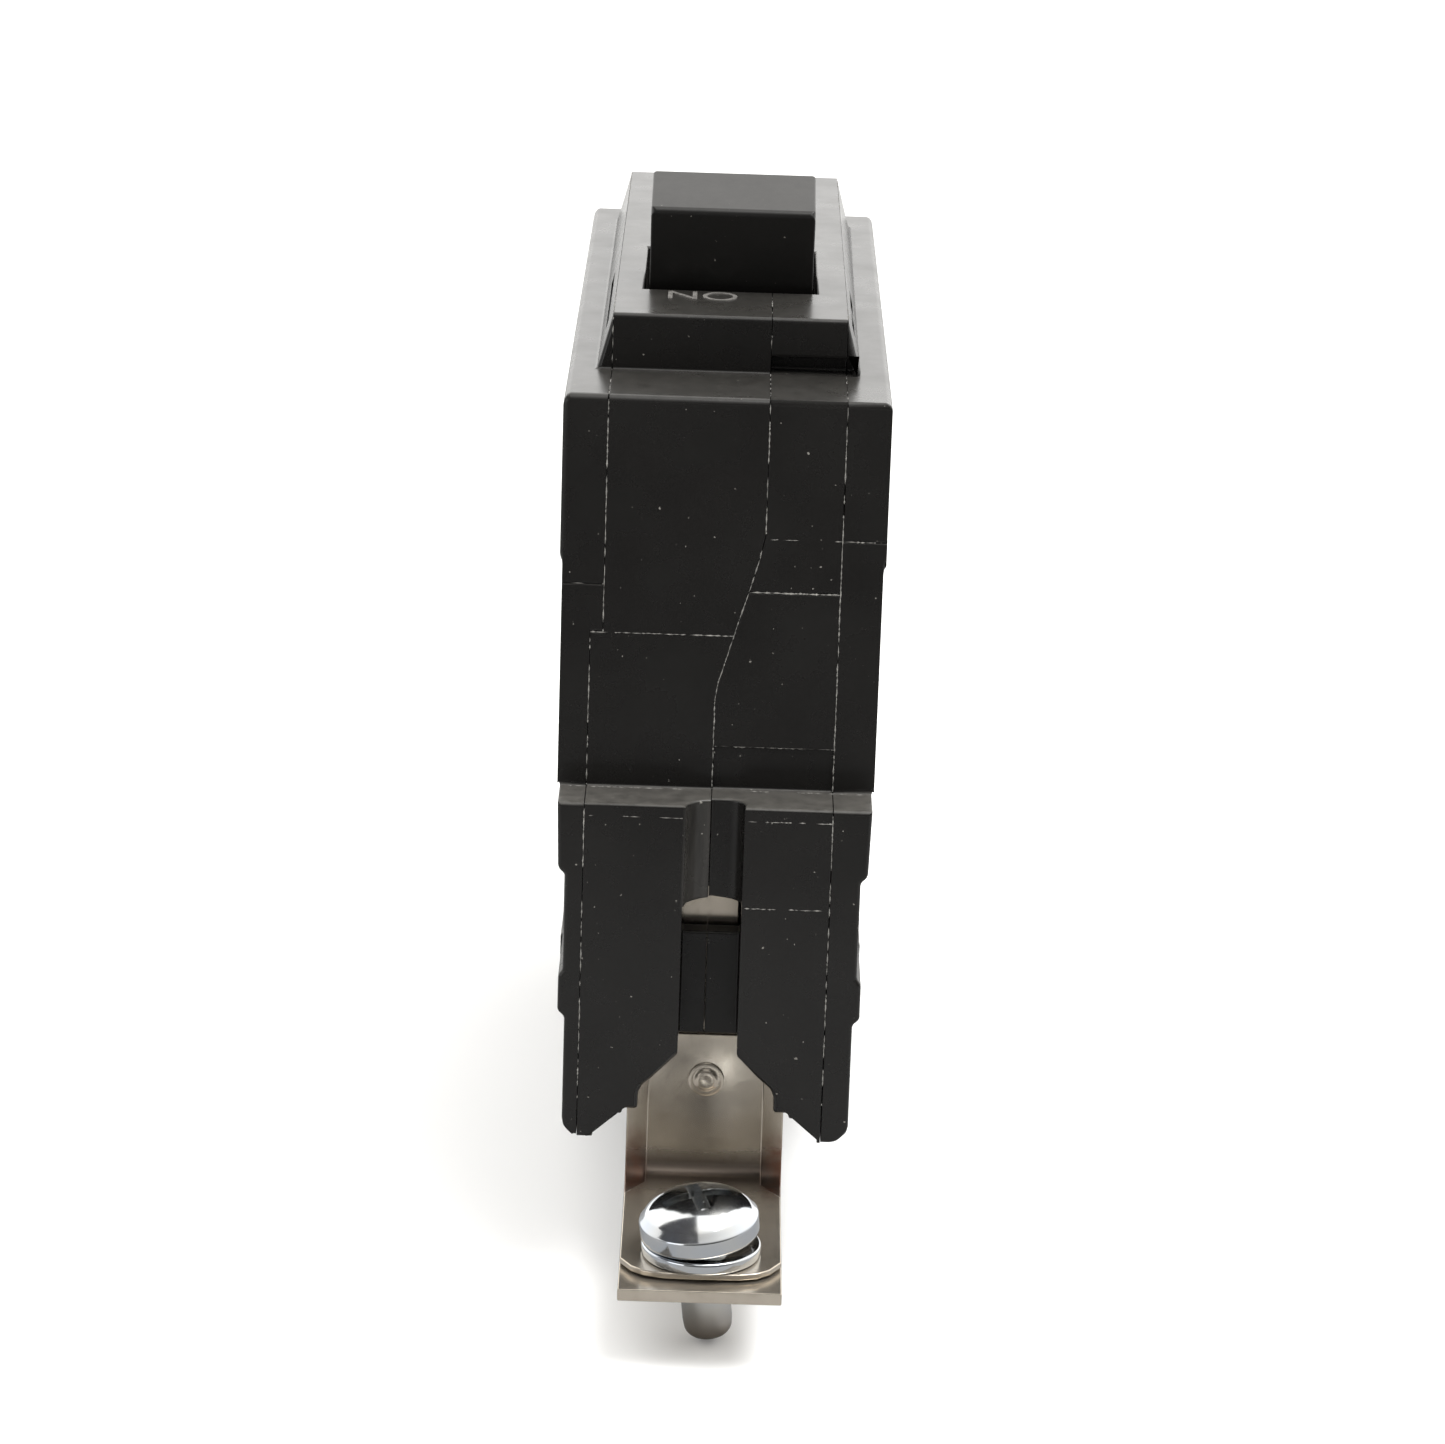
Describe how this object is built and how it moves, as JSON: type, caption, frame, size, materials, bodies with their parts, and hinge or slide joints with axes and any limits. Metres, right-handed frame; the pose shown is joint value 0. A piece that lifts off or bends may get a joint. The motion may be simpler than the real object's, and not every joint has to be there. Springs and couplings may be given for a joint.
{
  "type": "ground-fault circuit breaker",
  "caption": "Single-pole bolt-on ground-fault circuit breaker with toggle handle, test button, bent line tab with screw and slanted load terminals.",
  "frame": {"origin": "centre of the case's back face, below the handle side", "axes": "+Z from the back face to the handle, -Y to the line end with the bolt tab, +X to the right when the line end is looked at"},
  "size_m": [0.0254, 0.1034, 0.0855],
  "materials": {
    "case": "moulded black thermoset, semi-gloss",
    "handle": "moulded black thermoset, satin",
    "tinned_copper": "tin-plated copper strip, bright",
    "screw_zinc": "bright zinc-plated steel",
    "rivet_steel": "zinc-plated steel rivet",
    "mechanism_steel": "plain mechanism steel",
    "copper": "bare copper",
    "bimetal": "thermostatic bimetal",
    "silver": "silver contact alloy",
    "board": "glass-epoxy board with solder mask",
    "ferrite": "coated transformer core",
    "winding": "enamelled copper winding",
    "chip": "moulded chip package",
    "blue_epoxy": "dipped epoxy coating",
    "resistor": "lacquered resistor body",
    "wire_black": "black wire insulation",
    "wire_white": "white wire insulation",
    "button": "moulded white thermoplastic",
    "lever_plastic": "moulded black thermoplastic"
  },
  "bodies": {
    "case": {"cover_left": "case", "body_left": "case", "body_right": "case", "cover_right": "case", "case_rivet_1": "rivet_steel", "case_rivet_2": "rivet_steel", "case_rivet_3": "rivet_steel", "case_rivet_4": "rivet_steel", "line_strap": "tinned_copper", "line_clip": "tinned_copper", "clip_rivet": "tinned_copper", "load_terminal": "tinned_copper", "neutral_terminal": "tinned_copper", "stationary_contact": "silver", "arc_plate_1": "mechanism_steel", "arc_plate_2": "mechanism_steel", "arc_plate_3": "mechanism_steel", "magnet_yoke": "mechanism_steel", "solenoid_frame": "mechanism_steel", "plunger_spring": "mechanism_steel", "test_spring": "mechanism_steel", "bimetal_bracket": "copper", "flex_braid": "copper", "bimetal": "bimetal", "test_blade": "bimetal", "circuit_board": "board", "sense_toroid": "ferrite", "ground_toroid": "ferrite", "solenoid_coil": "winding", "ic_chip": "chip", "thyristor": "chip", "varistor": "blue_epoxy", "timing_capacitor": "blue_epoxy", "test_resistor": "resistor", "supply_resistor": "resistor", "load_conductor": "wire_black", "filter_capacitor": "wire_black", "neutral_conductor": "wire_white"},
    "toggle": {"handle": "handle"},
    "arm": {"contact_arm": "copper", "moving_contact": "silver", "toggle_spring": "mechanism_steel"},
    "cradle": {"trip_cradle": "mechanism_steel"},
    "armature_plate": {"armature": "mechanism_steel"},
    "load_jaw": {"load_clamp": "screw_zinc"},
    "load_bolt": {"load_screw": "screw_zinc"},
    "neutral_jaw": {"neutral_clamp": "screw_zinc"},
    "neutral_bolt": {"neutral_screw": "screw_zinc"},
    "plunger": {"solenoid_plunger": "mechanism_steel"},
    "lever": {"trip_lever": "lever_plastic"},
    "button": {"test_button": "button"},
    "line_ring": {"line_washer": "screw_zinc"},
    "line_bolt": {"line_screw": "screw_zinc"}
  },
  "joints": [
    {"name": "handle_toggle", "type": "hinge", "parent": "case", "child": "toggle", "pos_m": [0, -0.014, 0.0532], "axis": [-1, 0, 0], "range_deg": [0, 36]},
    {"name": "arm_swing", "type": "hinge", "parent": "toggle", "child": "arm", "pos_m": [-0.0053, -0.01069, 0.04166], "axis": [1, 0, 0], "range_deg": [0, 71]},
    {"name": "cradle_trip", "type": "hinge", "parent": "case", "child": "cradle", "pos_m": [-0.0098, -0.0255, 0.047], "axis": [-1, 0, 0], "range_deg": [0, 15]},
    {"name": "armature_pull", "type": "hinge", "parent": "case", "child": "armature_plate", "pos_m": [-0.0053, 0.00645, 0.0442], "axis": [1, 0, 0], "range_deg": [0, 5], "stiffness_Nm_per_rad": 0.02},
    {"name": "load_clamp_slide", "type": "slide", "parent": "case", "child": "load_jaw", "axis": [0, 0.7071, 0.7071], "range_m": [0, 0.0035]},
    {"name": "load_screw_turn", "type": "hinge", "parent": "load_jaw", "child": "load_bolt", "pos_m": [-0.0054, 0.0385, 0.0435], "axis": [0, 0.7071, 0.7071], "range_deg": [0, 1800]},
    {"name": "neutral_clamp_slide", "type": "slide", "parent": "case", "child": "neutral_jaw", "axis": [0, 0.7071, 0.7071], "range_m": [0, 0.0035]},
    {"name": "neutral_screw_turn", "type": "hinge", "parent": "neutral_jaw", "child": "neutral_bolt", "pos_m": [0.0051, 0.0385, 0.0435], "axis": [0, 0.7071, 0.7071], "range_deg": [0, 1800]},
    {"name": "plunger_pull", "type": "slide", "parent": "case", "child": "plunger", "axis": [0, 0, 1], "range_m": [0, 0.0025], "stiffness_N_per_m": 60, "deforming": ["plunger_spring"]},
    {"name": "lever_trip", "type": "hinge", "parent": "case", "child": "lever", "pos_m": [0, 0.0015, 0.022], "axis": [-1, 0, 0], "range_deg": [0, 20]},
    {"name": "test_press", "type": "slide", "parent": "case", "child": "button", "axis": [0, 0, -1], "range_m": [0, 0.0012], "stiffness_N_per_m": 400, "deforming": ["test_spring"]},
    {"name": "line_washer_lift", "type": "slide", "parent": "case", "child": "line_ring", "axis": [-0.1045, -0.0872, 0.9907], "range_m": [0, 0.005]},
    {"name": "line_screw_turn", "type": "hinge", "parent": "line_ring", "child": "line_bolt", "pos_m": [-0.0001, -0.0535, -0.00391], "axis": [-0.1045, -0.0872, 0.9907], "range_deg": [0, 2250]}
  ],
  "couplings": [
    {"joint": "arm_swing", "follows": "handle_toggle", "ratio": 1.9722},
    {"joint": "load_screw_turn", "follows": "load_clamp_slide", "rad_per_m": 8976},
    {"joint": "neutral_screw_turn", "follows": "neutral_clamp_slide", "rad_per_m": 8976},
    {"joint": "line_screw_turn", "follows": "line_washer_lift", "rad_per_m": 7854},
    {"joint": "lever_trip", "follows": "plunger_pull", "rad_per_m": 139.63}
  ]
}
